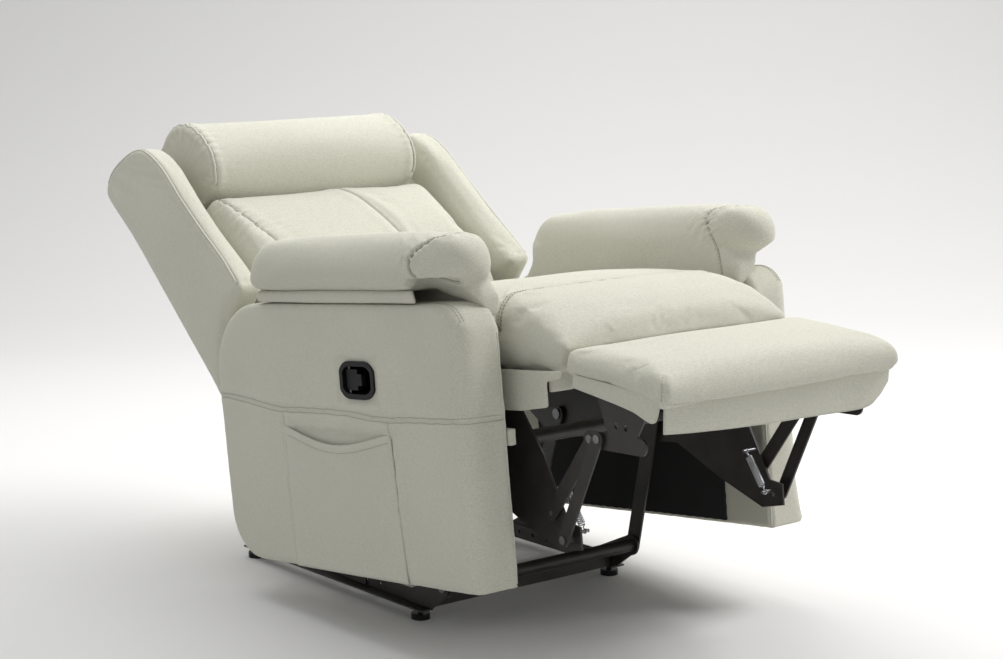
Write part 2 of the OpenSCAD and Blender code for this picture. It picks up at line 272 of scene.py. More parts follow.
IVORY = (0.60, 0.595, 0.505)
M_FABRIC = fabric("ivory_weave", IVORY)
# The thread is a darkened copy of the ivory: real stitch thread, with painted shade of its holes.
# The same colour on the seam tubes is painted shade of the creases.
M_THREAD_AND_SHADE = fabric("stitch_thread_and_shade", (0.33, 0.325, 0.275), 900.0, 0.1)
# A lighter copy of the ivory for the round piping cords: painted highlight.
M_PIPING_HIGHLIGHT = fabric("piping_weave_highlight", (0.68, 0.675, 0.59), 700.0)
M_LINING = fabric("black_lining", (0.016, 0.016, 0.017), 600.0, 0.05)
M_WEBBING = fabric("webbing", (0.20, 0.18, 0.15), 300.0, 0.1)
M_STEEL = painted("black_powder_coat", (0.024, 0.021, 0.019))
M_RIVET = painted("rivet_steel", (0.20, 0.20, 0.21), 0.35, 0.9)
M_SPRING = painted("spring_wire", (0.60, 0.61, 0.63), 0.22, 1.0, 300.0)
M_PLASTIC = painted("latch_plastic", (0.007, 0.007, 0.008), 0.4, 0.0, 1600.0, 0.22)
M_WOOD = wood("timber", (0.50, 0.36, 0.21))
# a near-black copy of the timber, used as painted shade
M_SHADE_TIMBER = wood("timber_painted_shade", (0.035, 0.030, 0.026))

BY_SLOT = {
    "upholstery": M_FABRIC, "black_lining": M_LINING, "black_steel": M_STEEL,
    "rivet_steel": M_RIVET, "spring_steel": M_SPRING, "timber": M_WOOD,
    "webbing": M_WEBBING, "latch_plastic": M_PLASTIC, "black_plastic": M_PLASTIC,
}
for row in frame["record"]["subparts"]:
    cad = NODES[row["node"]]
    cad.data.materials.clear()
    cad.data.materials.append(BY_SLOT[row["material_slot"]])
# These timber parts get the near-black copy of the wood: painted shade where the rails, board,
# cleats and uprights sit in shadow under the seat and beside the back.
for name in ("seat_cross_rails", "seat_side_rails", "footrest_board", "wing_cleats",
             "back_uprights"):
    NODES[name].data.materials[0] = M_SHADE_TIMBER


# ---- mesh helpers ----
def smooth_mesh(name, verts, faces, mat):
    """A new object from points in metres."""
    mesh = bpy.data.meshes.new(name)
    mesh.from_pydata(verts, [], faces)
    mesh.materials.append(mat)
    mesh.shade_smooth()
    return add_object(name, mesh)


def make(name, verts, faces, mat, place):
    """A new closed object from points in millimetres, in a body's own frame."""
    obj = smooth_mesh(name, [place @ (Vector(v) * MM) for v in verts], faces, mat)
    obj.data.validate()
    bm = bmesh.new()
    bm.from_mesh(obj.data)
    bmesh.ops.recalc_face_normals(bm, faces=bm.faces)
    bm.to_mesh(obj.data)
    bm.free()
    return obj


def loft(rings):
    """Quads between rings of equal length; the ends are closed with a fan."""
    n = len(rings[0])
    verts = [p for ring in rings for p in ring]
    faces = []
    for i in range(len(rings) - 1):
        for j in range(n):
            k = (j + 1) % n
            faces.append((i * n + j, i * n + k, (i + 1) * n + k, (i + 1) * n + j))
    for base, flip in ((0, True), ((len(rings) - 1) * n, False)):
        centre = sum((Vector(verts[base + j]) for j in range(n)), Vector()) / n
        verts.append(tuple(centre))
        c = len(verts) - 1
        for j in range(n):
            k = (j + 1) % n
            face = (base + j, base + k, c)
            faces.append(face[::-1] if flip else face)
    return verts, faces


def shell(outer, inner, columns, rows):
    """A thin closed skin from two grids of points, columns by rows of cells."""
    n = len(outer)
    wide = columns + 1
    faces = []
    for j in range(rows):
        for i in range(columns):
            a = j * wide + i
            b, c, d = a + 1, a + wide + 1, a + wide
            faces += [(a, d, c, b), (a + n, b + n, c + n, d + n)]
    rim = list(range(wide))
    rim += [(j + 1) * wide + columns for j in range(rows)]
    rim += [rows * wide + i for i in range(columns - 1, -1, -1)]
    rim += [j * wide for j in range(rows - 1, 0, -1)]
    faces += [(a, b, b + n, a + n) for a, b in zip(rim, rim[1:] + rim[:1])]
    return outer + inner, faces


def apply_modifiers(obj):
    """Makes what the modifiers give the object's own mesh."""
    deps = bpy.context.evaluated_depsgraph_get()
    mesh = bpy.data.meshes.new_from_object(obj.evaluated_get(deps))
    old = obj.data
    obj.modifiers.clear()
    obj.data = mesh
    bpy.data.meshes.remove(old)
    mesh.shade_smooth()


def soften(obj, steps, group=""):
    mod = obj.modifiers.new("smooth", "SMOOTH")
    mod.factor = 0.5
    mod.iterations = steps
    mod.vertex_group = group
    apply_modifiers(obj)


def subdivide(obj):
    mod = obj.modifiers.new("subdivide", "SUBSURF")
    mod.levels = mod.render_levels = 1
    apply_modifiers(obj)


def coords(obj):
    co = np.zeros(len(obj.data.vertices) * 3, np.float32)
    obj.data.vertices.foreach_get("co", co)
    return co.reshape(-1, 3).astype(float)


def normals(obj):
    no = np.zeros(len(obj.data.vertices) * 3, np.float32)
    obj.data.vertex_normals.foreach_get("vector", no)
    return no.reshape(-1, 3).astype(float)


def set_coords(obj, co):
    obj.data.vertices.foreach_set("co", co.astype(np.float32).ravel())
    obj.data.update()


def local_coords(obj, place):
    """The vertices in millimetres, in a body's own frame."""
    back = place.inverted()
    return np.array([tuple(back @ Vector(c)) for c in coords(obj)]) / MM


def set_local_coords(obj, place, local):
    set_coords(obj, np.array([tuple(place @ (Vector(p) * MM)) for p in local]))


def puff(obj, pressure, cap, frames, pins, pin_reach):
    """Inflates a closed cover as cloth, pinned along its seams, and applies the result.

    No point moves further than cap millimetres.
    """
    before = coords(obj)
    near = distance_to(before, pins)[0]
    weights = np.clip(1.15 - near / (pin_reach * MM), 0, 1)
    group = obj.vertex_groups.new(name="pins")
    for level in (1.0, 0.7, 0.4):
        chosen = np.nonzero((weights > level - 0.3) & (weights <= level + 0.001))[0]
        if len(chosen):
            group.add([int(i) for i in chosen], level, "REPLACE")
    stiff = 14.0
    mod = obj.modifiers.new("cloth", "CLOTH")
    cloth = mod.settings
    cloth.quality = 5
    cloth.mass = 0.35
    cloth.tension_stiffness = cloth.compression_stiffness = stiff
    cloth.shear_stiffness = stiff * 0.4
    cloth.bending_stiffness = 0.6
    cloth.use_pressure = True
    cloth.uniform_pressure_force = pressure
    cloth.effector_weights.gravity = 0
    cloth.vertex_group_mass = "pins"
    cloth.pin_stiffness = 4
    mod.collision_settings.use_collision = False
    scene = bpy.context.scene
    for number in range(1, frames + 1):
        scene.frame_set(number)
    deps = bpy.context.evaluated_depsgraph_get()
    after = coords(obj.evaluated_get(deps))
    obj.modifiers.clear()
    scene.frame_set(1)
    move = after - before
    length = np.linalg.norm(move, axis=1)
    limit = cap * MM
    kept = limit * np.tanh(length / limit)
    set_coords(obj, before + move * (kept / np.maximum(length, 1e-9))[:, None])
    obj.vertex_groups.clear()


def dense(path, step=1.5):
    """Points along a polyline, about step millimetres apart. The path is in metres."""
    out = [Vector(path[0])]
    for a, b in zip(path, path[1:]):
        a, b = Vector(a), Vector(b)
        count = max(1, int((b - a).length / (step * MM)))
        out += [a.lerp(b, (i + 1) / count) for i in range(count)]
    return out


def distance_to(co, paths):
    """Distance of each point to the nearest path, and how far along it that is."""
    points, along = [], []
    for path in paths:
        run = 0.0
        last = None
        for p in dense(path):
            run += (p - last).length if last is not None else 0.0
            last = p
            points.append(p)
            along.append(run)
    tree = KDTree(len(points))
    for i, p in enumerate(points):
        tree.insert(p, i)
    tree.balance()
    far = np.full(len(co), 9.9)
    where = np.zeros(len(co))
    pts = np.array([tuple(p) for p in points])
    lo, hi = pts.min(0) - 0.09, pts.max(0) + 0.09
    for i in np.nonzero(((co > lo) & (co < hi)).all(1))[0]:
        _, index, gap = tree.find(co[i])
        far[i], where[i] = gap, along[index]
    return far, where


def curve(points, count):
    """A smooth run through a few points (Catmull-Rom), as plain tuples."""
    pts = [Vector(p) for p in points]
    pts = [2 * pts[0] - pts[1]] + pts + [2 * pts[-1] - pts[-2]]
    out = []
    spans = len(pts) - 3
    for i in range(count + 1):
        t = i / count * spans
        k = min(int(t), spans - 1)
        t -= k
        a, b, c, d = pts[k:k + 4]
        out.append(tuple(0.5 * ((2 * b) + (c - a) * t + (2 * a - 5 * b + 4 * c - d) * t * t
                                + (3 * b - a - 3 * c + d) * t ** 3)))
    return out


def groove(obj, paths, depth, width, rise, reach):
    """Pulls the cover in along seams, with a soft rise beside them."""
    co, no = coords(obj), normals(obj)
    near, _ = distance_to(co, paths)
    near = near / MM
    move = -depth * np.exp(-(near / width) ** 2)
    move += rise * np.exp(-((near - reach * 0.5) / (reach * 0.35)) ** 2)
    set_coords(obj, co + no * (move * MM)[:, None])


def gathers(obj, paths, reach, height, pitch, seed, side=None):
    """Small puckers that run away from a seam and die out."""
    co, no = coords(obj), normals(obj)
    near, along = distance_to(co, paths)
    near = near / MM
    fade = np.exp(-near / (reach * 0.45)) * (near < reach * 2)
    wave = np.array([noise.noise((s / MM / pitch, seed, n / 60.0)) if f > 0.01 else 0.0
                     for s, n, f in zip(along, near, fade)])
    if side is not None:
        fade = fade * side(co / MM)
    set_coords(obj, co + no * (wave * fade * height * 2 * MM)[:, None])


def dimple(obj, amount, scale, seed, along=(1, 1, 1)):
    """Wide shallow unevenness, as soft filling has."""
    co, no = coords(obj), normals(obj)
    s = Vector(along) * scale
    wave = np.array([noise.noise((c[0] * s.x + seed, c[1] * s.y, c[2] * s.z)) for c in co])
    set_coords(obj, co + no * (wave * amount * MM)[:, None])


def tube(name, path, radius, mat, sides=8):
    """A round bar along a path in metres, as a mesh."""
    pts = [Vector(p) for p in path]
    verts, faces = [], []
    up = None
    n = len(pts)
    for i, p in enumerate(pts):
        t = (pts[min(i + 1, n - 1)] - pts[max(i - 1, 0)]).normalized()
        if up is None:
            up = t.orthogonal().normalized()
        up = (up - t * up.dot(t)).normalized()
        side = t.cross(up)
        for k in range(sides):
            w = 2 * math.pi * k / sides
            verts.append(p + (up * math.cos(w) + side * math.sin(w)) * radius * MM)
    for i in range(n - 1):
        for k in range(sides):
            a, b = i * sides + k, i * sides + (k + 1) % sides
            faces.append((a, b, b + sides, a + sides))
    faces.append(tuple(range(sides))[::-1])
    faces.append(tuple(range((n - 1) * sides, n * sides)))
    return smooth_mesh(name, verts, faces, mat)


def stitches(name, runs, pitch, length, radius):
    """Sewing stitches along runs of (point, normal) pairs, joined in one mesh."""
    verts, faces = [], []
    for run in runs:
        travelled, target = 0.0, 0.0
        for (a, na), (b, nb) in zip(run, run[1:]):
            gap = (b - a).length
            if gap < 1e-7 or gap > 0.03:
                continue
            t = (b - a) / gap
            while target < travelled + gap:
                k = (target - travelled) / gap
                centre, normal = a.lerp(b, k), na.lerp(nb, k).normalized()
                side = normal.cross(t).normalized()
                base = len(verts)
                for u, w in ((-1, 0), (-0.7, 1), (0.7, 1), (1, 0)):
                    m = centre + t * (u * length * 0.5 * MM) + normal * 0.0002
                    if w == 0:
                        verts.append(m)
                    else:
                        r = radius * MM
                        verts += [m + side * r, m + normal * r, m - side * r, m - normal * r]
                faces += [(base, base + 1 + (j + 1) % 4, base + 1 + j) for j in range(4)]
                faces += [(base + 1 + j, base + 1 + (j + 1) % 4, base + 5 + (j + 1) % 4,
                           base + 5 + j) for j in range(4)]
                faces += [(base + 9, base + 5 + j, base + 5 + (j + 1) % 4) for j in range(4)]
                target += pitch * MM
            travelled += gap
    return smooth_mesh(name, verts, faces, M_THREAD_AND_SHADE)


def surface(obj):
    """A search tree of the object's faces."""
    mesh = obj.data
    return BVHTree.FromPolygons([v.co for v in mesh.vertices],
                                [tuple(p.vertices) for p in mesh.polygons])


def beside(obj, run, gap):
    """The same run moved sideways by gap millimetres and laid back on the surface."""
    tree = surface(obj)
    out = []
    for i, (p, n) in enumerate(run):
        q = run[min(i + 1, len(run) - 1)][0] - run[max(i - 1, 0)][0]
        if q.length > 1e-9:
            hit, normal, _, _ = tree.find_nearest(p + n.cross(q.normalized()) * gap * MM)
            out.append((hit, normal))
    return out


def only_points(run):
    return [p for p, _ in run]


def arc(cy, cz, r, a0, a1, n=14):
    """Points of a round stretch of an outline, from a0 to a1 degrees."""
    return [(cy + r * math.cos(math.radians(a0 + (a1 - a0) * i / n)),
             cz + r * math.sin(math.radians(a0 + (a1 - a0) * i / n))) for i in range(n + 1)]


def even(outline, step):
    """A closed outline resampled at an even step, in millimetres."""
    pts = [Vector((*p, 0)) for p in outline]
    pts.append(pts[0])
    total = sum((b - a).length for a, b in zip(pts, pts[1:]))
    count = int(total / step)
    out, run, target = [], 0.0, 0.0
    for a, b in zip(pts, pts[1:]):
        gap = (b - a).length
        while target < run + gap - 1e-9 and len(out) < count:
            k = (target - run) / gap if gap else 0
            out.append(tuple(a.lerp(b, k))[:2])
            target += total / count
        run += gap
    return out


def soft_box(outline, x0, x1, r_low, r_high, bulge_low=0.0, bulge_high=0.0, step=7.0):
    """A panel with a Y-Z outline, thick in X, with rounded rims and slightly full faces.

    r_low and r_high give the rim's radius at x0 and at x1, as a number or as a function
    of (y, z). The faces are closed with rings that shrink towards the middle.
    """
    pts = np.array(even(outline, step))
    nxt, prv = np.roll(pts, -1, 0), np.roll(pts, 1, 0)
    tangent = nxt - prv
    tangent /= np.linalg.norm(tangent, axis=1)[:, None]
    inward = np.stack([-tangent[:, 1], tangent[:, 0]], 1)
    for _ in range(3):
        inward = (inward + np.roll(inward, 1, 0) + np.roll(inward, -1, 0)) / 3
    area = 0.5 * np.sum(pts[:, 0] * nxt[:, 1] - nxt[:, 0] * pts[:, 1])
    if area < 0:
        inward = -inward

    def radius(r):
        return np.array([r(*p) if callable(r) else r for p in pts], float)

    low, high = radius(r_low), radius(r_high)
    centre = pts.mean(0)
    rings = []

    def ring(inset, x):
        flat = pts + inward * inset[:, None]
        rings.append([(float(xx), float(p[0]), float(p[1]))
                      for xx, p in zip(np.broadcast_to(x, len(pts)), flat)])

    def face(inset, x, bulge, sign, order):
        flat = pts + inward * inset[:, None]
        for k in order:
            p = centre + (flat - centre) * k
            xx = x + sign * bulge * (1 - k * k)
            rings.append([(float(xx), float(a), float(b)) for a, b in p])

    steps = [0.02, 0.12, 0.22, 0.32, 0.42, 0.52, 0.62, 0.71, 0.79, 0.86, 0.92, 0.97]
    face(low, x0, bulge_low, -1, steps)
    for a in range(0, 91, 15):
        w = math.radians(a)
        ring(low * (1 - math.sin(w)), x0 + low * (1 - math.cos(w)))
    for a in range(90, -1, -15):
        w = math.radians(a)
        ring(high * (1 - math.sin(w)), x1 - high * (1 - math.cos(w)))
    face(high, x1, bulge_high, 1, steps[::-1])
    return loft(rings)


def finish_piece(obj, body, nodes=()):
    """Says which body a piece rides on and which CAD nodes it replaces."""
    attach(obj, body)
    if nodes:
        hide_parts(*nodes)


def shoot(obj, rays, place, count):
    """The run of hits, as (point, normal) pairs, of rays laid smoothly between a few given ones.

    The given rays are (point, direction) pairs in a body's own frame, in millimetres.
    """
    tree = surface(obj)
    turn = place.to_3x3()
    points = curve([point for point, _ in rays], count)
    aims = curve([aim for _, aim in rays], count)
    hits = []
    for point, direction in zip(points, aims):
        aim = (turn @ Vector(direction)).normalized()
        start = place @ (Vector(point) * MM) - aim * 0.35
        hit, normal, _, _ = tree.ray_cast(start, aim)
        if hit is not None:
            hits.append((hit, normal))
    return hits


def mirror(obj, name, seed=0.0):
    """The same piece on the other side of the chair, with dimples of its own if seeded."""
    mesh = obj.data.copy()
    other = add_object(name, mesh)
    co = coords(other)
    co[:, 0] *= -1
    set_coords(other, co)
    mesh.flip_normals()
    if seed:
        dimple(other, 0.7, 9.0, seed)
    return other


def finish_both(obj, left_name, body):
    """A trim on the right side of the chair, and its mirror image on the left."""
    for piece in (obj, mirror(obj, left_name)):
        finish_piece(piece, body)


def join(name, objects):
    """One object from several, in the first one's material."""
    verts, faces = [], []
    for obj in objects:
        base = len(verts)
        verts += [tuple(v.co) for v in obj.data.vertices]
        faces += [tuple(base + i for i in p.vertices) for p in obj.data.polygons]
    mat = objects[0].data.materials[0]
    for obj in objects:
        bpy.data.objects.remove(obj)
    return smooth_mesh(name, verts, faces, mat)


def blob(name, shapes, place, voxel, steps, mat=None):
    """A soft body from overlapping lofted shapes, made one skin."""
    obj = join(name, [make(name + str(i), *shape, mat or M_FABRIC, place)
                      for i, shape in enumerate(shapes)])
    mod = obj.modifiers.new("remesh", "REMESH")
    mod.mode = "VOXEL"
    mod.voxel_size = voxel * MM
    mod.use_smooth_shade = True
    soften(obj, steps)
    return obj


def calm(obj):
    """Evens out the faint terraces that a voxel skin has on its faces across X."""
    facing = np.abs(normals(obj) @ np.array((1, 0, 0), float))
    group = obj.vertex_groups.new(name="calm")
    group.add([int(i) for i in np.nonzero(facing > 0.975)[0]], 1.0, "REPLACE")
    soften(obj, 40, "calm")
    obj.vertex_groups.clear()


def seam(obj, rays, place, depth, width, rise, reach, count):
    """Sews a seam into obj and returns the run of its points, on the new surface."""
    run = shoot(obj, rays, place, count)
    groove(obj, [only_points(run)], depth, width, rise, reach)
    return shoot(obj, rays, place, count)


def clamp01(v):
    return min(max(v, 0.0), 1.0)


def from_side(points):
    """Rays towards +X that meet the outer face of the right arm box at (y, z)."""
    return [((-430, y, z), (1, 0, 0)) for y, z in points]


def from_front(points, y):
    """Rays towards +Y that meet a cushion's front at (x, z)."""
    return [((x, y, z), (0, 1, 0)) for x, z in points]


# ---- arm boxes ----
ARM = [(1.0, 1.0)] + arc(645, 92, 91, -90, 0) + arc(606, 338, 139, 0, 90) \
    + arc(62, 420, 57, 90, 176)


def arm_outer_rim(y, z):
    front = clamp01(1 - y / 80)
    return 10 + 27 * front * clamp01(0.25 + z / 110) * (1 if z < 440 else 0.7)


right_arm = blob("arm_box_right", [soft_box(ARM, ARM_OUT, ARM_IN, arm_outer_rim, 7, 2.5, 0.0)],
                 BODY, 5.5, 3)
calm(right_arm)
dimple(right_arm, 0.9, 7.0, 2.0)

# horizontal seam of the outer face, over the pocket, round the corner and across the front
seam_heights = [(742, 305), (690, 303), (634, 298), (579, 291), (524, 287), (470, 288), (418, 289),
                (366, 289), (326, 288), (287, 286), (248, 283), (203, 282), (140, 285),
                (80, 286), (46, 287)]
rays = from_side(seam_heights)
rays += [((-388, 4, 287), (0.72, 0.7, 0)), ((-352, -30, 287), (0, 1, 0)),
         ((-325, -30, 286), (0, 1, 0)), ((-303, -30, 285), (0, 1, 0))]
arm_level = seam(right_arm, rays, BODY,
                 depth=1.9, width=3.0, rise=0.9, reach=22, count=170)
pocket_rear = seam(right_arm, from_side([(528, 280), (523, 150), (517, 4)]), BODY,
                   depth=2.0, width=2.6, rise=0.6, reach=16, count=60)
pocket_front = seam(right_arm, from_side([(203, 279), (192, 140), (180, 4)]), BODY,
                    depth=0.7, width=2.6, rise=0.3, reach=16, count=60)
# seam down the inner front edge, and the one over the front top
edge = [((ARM_IN + 30, -30, z), (-0.7, 0.7, 0)) for z in (8, 80, 160, 240, 320, 400, 425)]
arm_edge = seam(right_arm, edge, BODY,
                depth=1.2, width=2.6, rise=0.9, reach=14, count=110)
over = [((-372, 62 + 90 * math.cos(math.radians(a)), 420 + 90 * math.sin(math.radians(a))),
         (0.12, -math.cos(math.radians(a)), -math.sin(math.radians(a))))
        for a in (75, 90, 105, 120, 135, 150)]
arm_over = seam(right_arm, over, BODY,
                depth=0.9, width=2.4, rise=0.5, reach=14, count=50)
gathers(right_arm, [only_points(arm_level)], reach=24, height=0.5, pitch=14, seed=3.0)

left_arm = mirror(right_arm, "arm_box_left", 5.0)

# the right box is flat behind the pocket and the latch, and open for the latch's recess
face_x = -389.6
local = local_coords(right_arm, BODY)
in_pocket = (local[:, 1] > 196) & (local[:, 1] < 510) & (local[:, 2] < 256)
in_latch = (abs(local[:, 1] - LATCH_Y) < 58) & (abs(local[:, 2] - LATCH_Z) < 40)
local[:, 0] = np.where((in_pocket | in_latch) & (local[:, 0] < face_x), face_x, local[:, 0])
set_local_coords(right_arm, BODY, local)
hole_r, hole_straight = 28, 18
hole = []
for i in range(48):
    w = 2 * math.pi * (i + 0.5) / 48
    centre = LATCH_Y + (1 if math.cos(w) > 0 else -1) * hole_straight
    hole.append((centre + hole_r * math.cos(w), LATCH_Z + hole_r * math.sin(w)))
cutter = make("latch_hole", *loft([[(x, y, z) for y, z in hole] for x in (-420, -344)]),
              M_FABRIC, BODY)
mod = right_arm.modifiers.new("hole", "BOOLEAN")
mod.operation = "DIFFERENCE"
mod.object = cutter
mod.solver = "EXACT"
apply_modifiers(right_arm)
bpy.data.objects.remove(cutter)

arm_thread = stitches("arm_stitches_right", [
    beside(right_arm, run, gap) for run, gap in (
        (arm_level, 4.8), (arm_level, -4.8), (pocket_rear, 3.6), (pocket_front, -3.6),
        (arm_over, 3.4), (arm_over, -3.4))],
                      pitch=5.6, length=3.8, radius=0.6)
arm_pipe = tube("arm_piping_right", only_points(arm_edge)[::2], 1.7, M_PIPING_HIGHLIGHT)
finish_piece(right_arm, "body", ["arm_cover_right"])
finish_piece(left_arm, "body", ["arm_cover_left"])
finish_both(arm_thread, "arm_stitches_left", "body")
finish_both(arm_pipe, "arm_piping_left", "body")

# black cloth on the inner faces
lining_outline = [(112, 8), (640, 8), (640, 300), (112, 300)]
lining = blob("arm_lining_right", [soft_box(lining_outline, -296.9, -293, 1.6, 1.6, 0, 0, 10)],
              BODY, 2.6, 1, M_LINING)
dimple(lining, 0.25, 12.0, 8.0)
lining_left = mirror(lining, "arm_lining_left")
finish_piece(lining, "body", ["arm_linings"])
finish_piece(lining_left, "body", [])


# ---- side pocket ----
def pocket_lip(u):
    """Height of the pocket's opening at u, from its front edge (0) to its rear edge (1)."""
    return POCKET_TOP - POCKET_DIP * math.sin(math.pi * u) ** 1.2


def pocket_top_y(u):
    return 203 + 322 * u


def side_pocket():
    """The pocket's cloth, which stands off the arm most at its curved opening."""
    columns, rows = 60, 40
    outer, inner = [], []
    for j in range(rows + 1):
        for i in range(columns + 1):
            u, v = i / columns, j / rows
            lip = pocket_lip(u)
            y = (183 + 334 * u) * (1 - v) + pocket_top_y(u) * v
            z = POCKET_FOOT + (lip - POCKET_FOOT) * v
            full = clamp01(math.sin(math.pi * u)) ** (0.6 if u > 0.5 else 0.95)
            rise = full * (1.6 + 5.0 * v ** 1.4) + 0.1 + 0.4 * u
            rise += 0.5 * full * noise.noise((y / 50, z / 40, 4.0))
            hem = 0.5 * math.exp(-((lip - z - 7) / 6) ** 2)
            outer.append((-(391.6 + rise + hem), y, z))
            inner.append((-(390.2 + rise * 0.95), y, z))
    obj = make("side_pocket_cloth", *shell(outer, inner, columns, rows), M_FABRIC, BODY)
    hem_rays = from_side([(pocket_top_y(u), pocket_lip(u) - 14)
                          for u in [0.03 + 0.94 * k / 14 for k in range(15)]])
    run = shoot(obj, hem_rays, BODY, 70)
    thread = stitches("pocket_stitches", [run], pitch=6.2, length=4.2, radius=0.5)
    return obj, thread


pocket, pocket_thread = side_pocket()
finish_piece(pocket, "body", ["side_pocket"])
finish_piece(pocket_thread, "body")


# ---- arm pads ----
PAD = [(107, 502), (585, 502), (602, 514)] + arc(552, 538, 50, 0, 84, 6) \
    + [(480, 590), (300, 590), (90, 590)] + arc(45, 544, 45, 78, 215, 12) + [(30, 506)]
DROP = [(44, 402), (640, 402), (632, 460), (606, 499), (600, 540), (60, 560), (40, 530)]
WEB = [(28, 446), (62, 480), (118, 492), (118, 560), (18, 560)]


def pad_outer(y, z):
    return 12 + 32 * clamp01((z - 505) / 75)


def pad_inner(y, z):
    return 16 + 24 * clamp01((z - 505) / 75)


pad = blob("arm_pad_skin_right",
           [soft_box(PAD, -397, -271, pad_outer, pad_inner, 2, 0),
            soft_box(DROP, -296, -270, 11, 11),
            soft_box(WEB, -334, -272, 20, 10, 0, 0, 4)], BODY, 5.0, 4)
# the front of the pad is round in plan, and its top falls a little there
local = local_coords(pad, BODY)
across = np.abs((local[:, 0] + 334) / 64)
ahead = np.clip((150 - local[:, 1]) / 150, 0, 1) * np.clip((local[:, 2] - 485) / 35, 0, 1)
local[:, 1] += 58 * across ** 2.3 * ahead
local[:, 2] -= 6 * np.clip((60 - local[:, 1]) / 60, 0, 1) * (local[:, 2] > 540)
low = 452 + 1.15 * np.clip(-local[:, 0] - 296, 0, 60)
in_web = (local[:, 1] < 122) & (local[:, 2] < low) & (local[:, 0] < -296)
local[:, 2] = np.where(in_web, low, local[:, 2])
set_local_coords(pad, BODY, local)
soften(pad, 6)
cap_rays = [((-420, -10, 514), (0.7, 0.5, 0)), ((-430, 50, 512), (1, 0, 0)),
            ((-430, 97, 526), (1, 0, 0)), ((-430, 108, 548), (1, 0, 0)),
            ((-425, 96, 568), (1, 0, -0.15)), ((-410, 74, 600), (0.8, 0, -0.5)),
            ((-370, 58, 640), (0.25, 0, -1)), ((-330, 60, 640), (0, 0, -1)),
            ((-290, 82, 630), (-0.35, 0, -1)), ((-245, 98, 585), (-1, 0, -0.3)),
            ((-235, 84, 545), (-1, 0, 0)), ((-235, 66, 508), (-1, 0, 0)),
            ((-235, 58, 465), (-1, 0, 0)), ((-235, 62, 430), (-1, 0, 0)),
            ((-235, 68, 408), (-1, 0, 0))]
cap_line = only_points(shoot(pad, cap_rays, BODY, 150))
puff(pad, pressure=2.6, cap=6.5, frames=12, pins=[cap_line], pin_reach=7.0)
subdivide(pad)
groove(pad, [cap_line], depth=1.6, width=3.0, rise=1.6, reach=18)


def cap_side(co):
    """How far the gathers show at each point, which fades behind the cap and below it."""
    to_body = BODY.inverted()
    local = np.array([(to_body @ Vector(c * MM)) / MM for c in co])
    return np.clip((170 - local[:, 1]) / 60, 0, 1) * np.clip((local[:, 2] - 500) / 50, 0.1, 1)


gathers(pad, [cap_line], reach=30, height=2.5, pitch=7.0, seed=1.0, side=cap_side)
dimple(pad, 1.6, 9.0, 6.0)
cap_run = shoot(pad, cap_rays, BODY, 150)
pad_left = mirror(pad, "arm_pad_skin_left", 3.0)
cap_thread = stitches("arm_pad_stitches_right", [beside(pad, cap_run, 3.4)],
                      pitch=6.0, length=4.0, radius=0.5)
# A dark thread-coloured tube laid in the cap seam's groove: painted shade of the crease.
cap_seam_shade = tube("arm_pad_seam_shade_right", only_points(cap_run)[::2], 0.9, M_THREAD_AND_SHADE, 6)
finish_piece(pad, "body", ["arm_pad_right", "arm_inner_pad_right"])
finish_piece(pad_left, "body", ["arm_pad_left", "arm_inner_pad_left"])
finish_both(cap_thread, "arm_pad_stitches_left", "body")
finish_both(cap_seam_shade, "arm_pad_seam_shade_left", "body")

# upholstered boards between the boxes and the pads
board = blob("arm_board_skin_right",
             [soft_box([(104, 478.5), (588, 478.5), (590, 499.5), (112, 499.5)], -389, -300,
                       7, 5, 0.5, 0, 6)], BODY, 3.5, 3)
local = local_coords(board, BODY)
local[:, 1] += 1.45 * (local[:, 0] + 389) * np.clip((300 - local[:, 1]) / 200, 0, 1)
set_local_coords(board, BODY, local)
dimple(board, 1.3, 7.0, 9.0)
board_left = mirror(board, "arm_board_skin_left")
finish_piece(board, "body", ["arm_boards"])
finish_piece(board_left, "body", [])


# ---- seat ----
SEAT = [(-86, 357), (-98, 374), (-111, 396), (-78, 424), (-38, 450), (8, 470)] \
    + arc(66, 372, 110, 98, 80, 3) + [(300, 476), (560, 450)] + arc(570, 420, 32, 70, 0, 5) \
    + [(602, 357)]


def seat_rim(y, z):
    return 7 + (26 + 22 * clamp01((y + 40) / 100)) * clamp01((z - 395) / 70)


seat = blob("seat_skin", [soft_box(SEAT, -SEAT_HALF, SEAT_HALF, seat_rim, seat_rim, 0, 0, 9)],
            BODY, 6.5, 8)


def seat_row(x):
    """Where the seam across the seat runs, further forward at its ends."""
    return 75 - 22 * (abs(x) / SEAT_HALF) ** 2.5


cross_rays = [((-300, 52, 425), (1, 0, -0.05)), ((-290, 50, 455), (0.8, 0, -0.5))]
cross_rays += [((x, seat_row(x), 540), (0, 0, -1)) for x in (-225, -180, -120, -60, 0, 60,
                                                            120, 180, 225)]
cross_rays += [((290, 50, 455), (-0.8, 0, -0.5)), ((300, 52, 425), (-1, 0, -0.05))]
cross_line = only_points(shoot(seat, cross_rays, BODY, 150))
puff(seat, pressure=2.8, cap=13.0, frames=16, pins=[cross_line], pin_reach=9.0)
subdivide(seat)
groove(seat, [cross_line], depth=2.2, width=5.0, rise=1.6, reach=34)
gathers(seat, [cross_line], reach=34, height=0.8, pitch=16.0, seed=5.0)
dimple(seat, 2.2, 5.0, 1.0)
dimple(seat, 0.8, 14.0, 7.0)
cross_run = shoot(seat, cross_rays, BODY, 150)
seat_thread = stitches("seat_stitches", [beside(seat, cross_run, gap) for gap in (5.0, -5.0)],
                       pitch=7.0, length=4.8, radius=0.95)
# A dark thread-coloured tube laid in the cross seam's groove: painted shade of the crease.
cross_seam_shade = tube("seat_seam_shade", only_points(cross_run)[::2], 0.8, M_THREAD_AND_SHADE, 6)
finish_piece(seat, "body", ["seat_cushion"])
finish_piece(seat_thread, "body")
finish_piece(cross_seam_shade, "body")

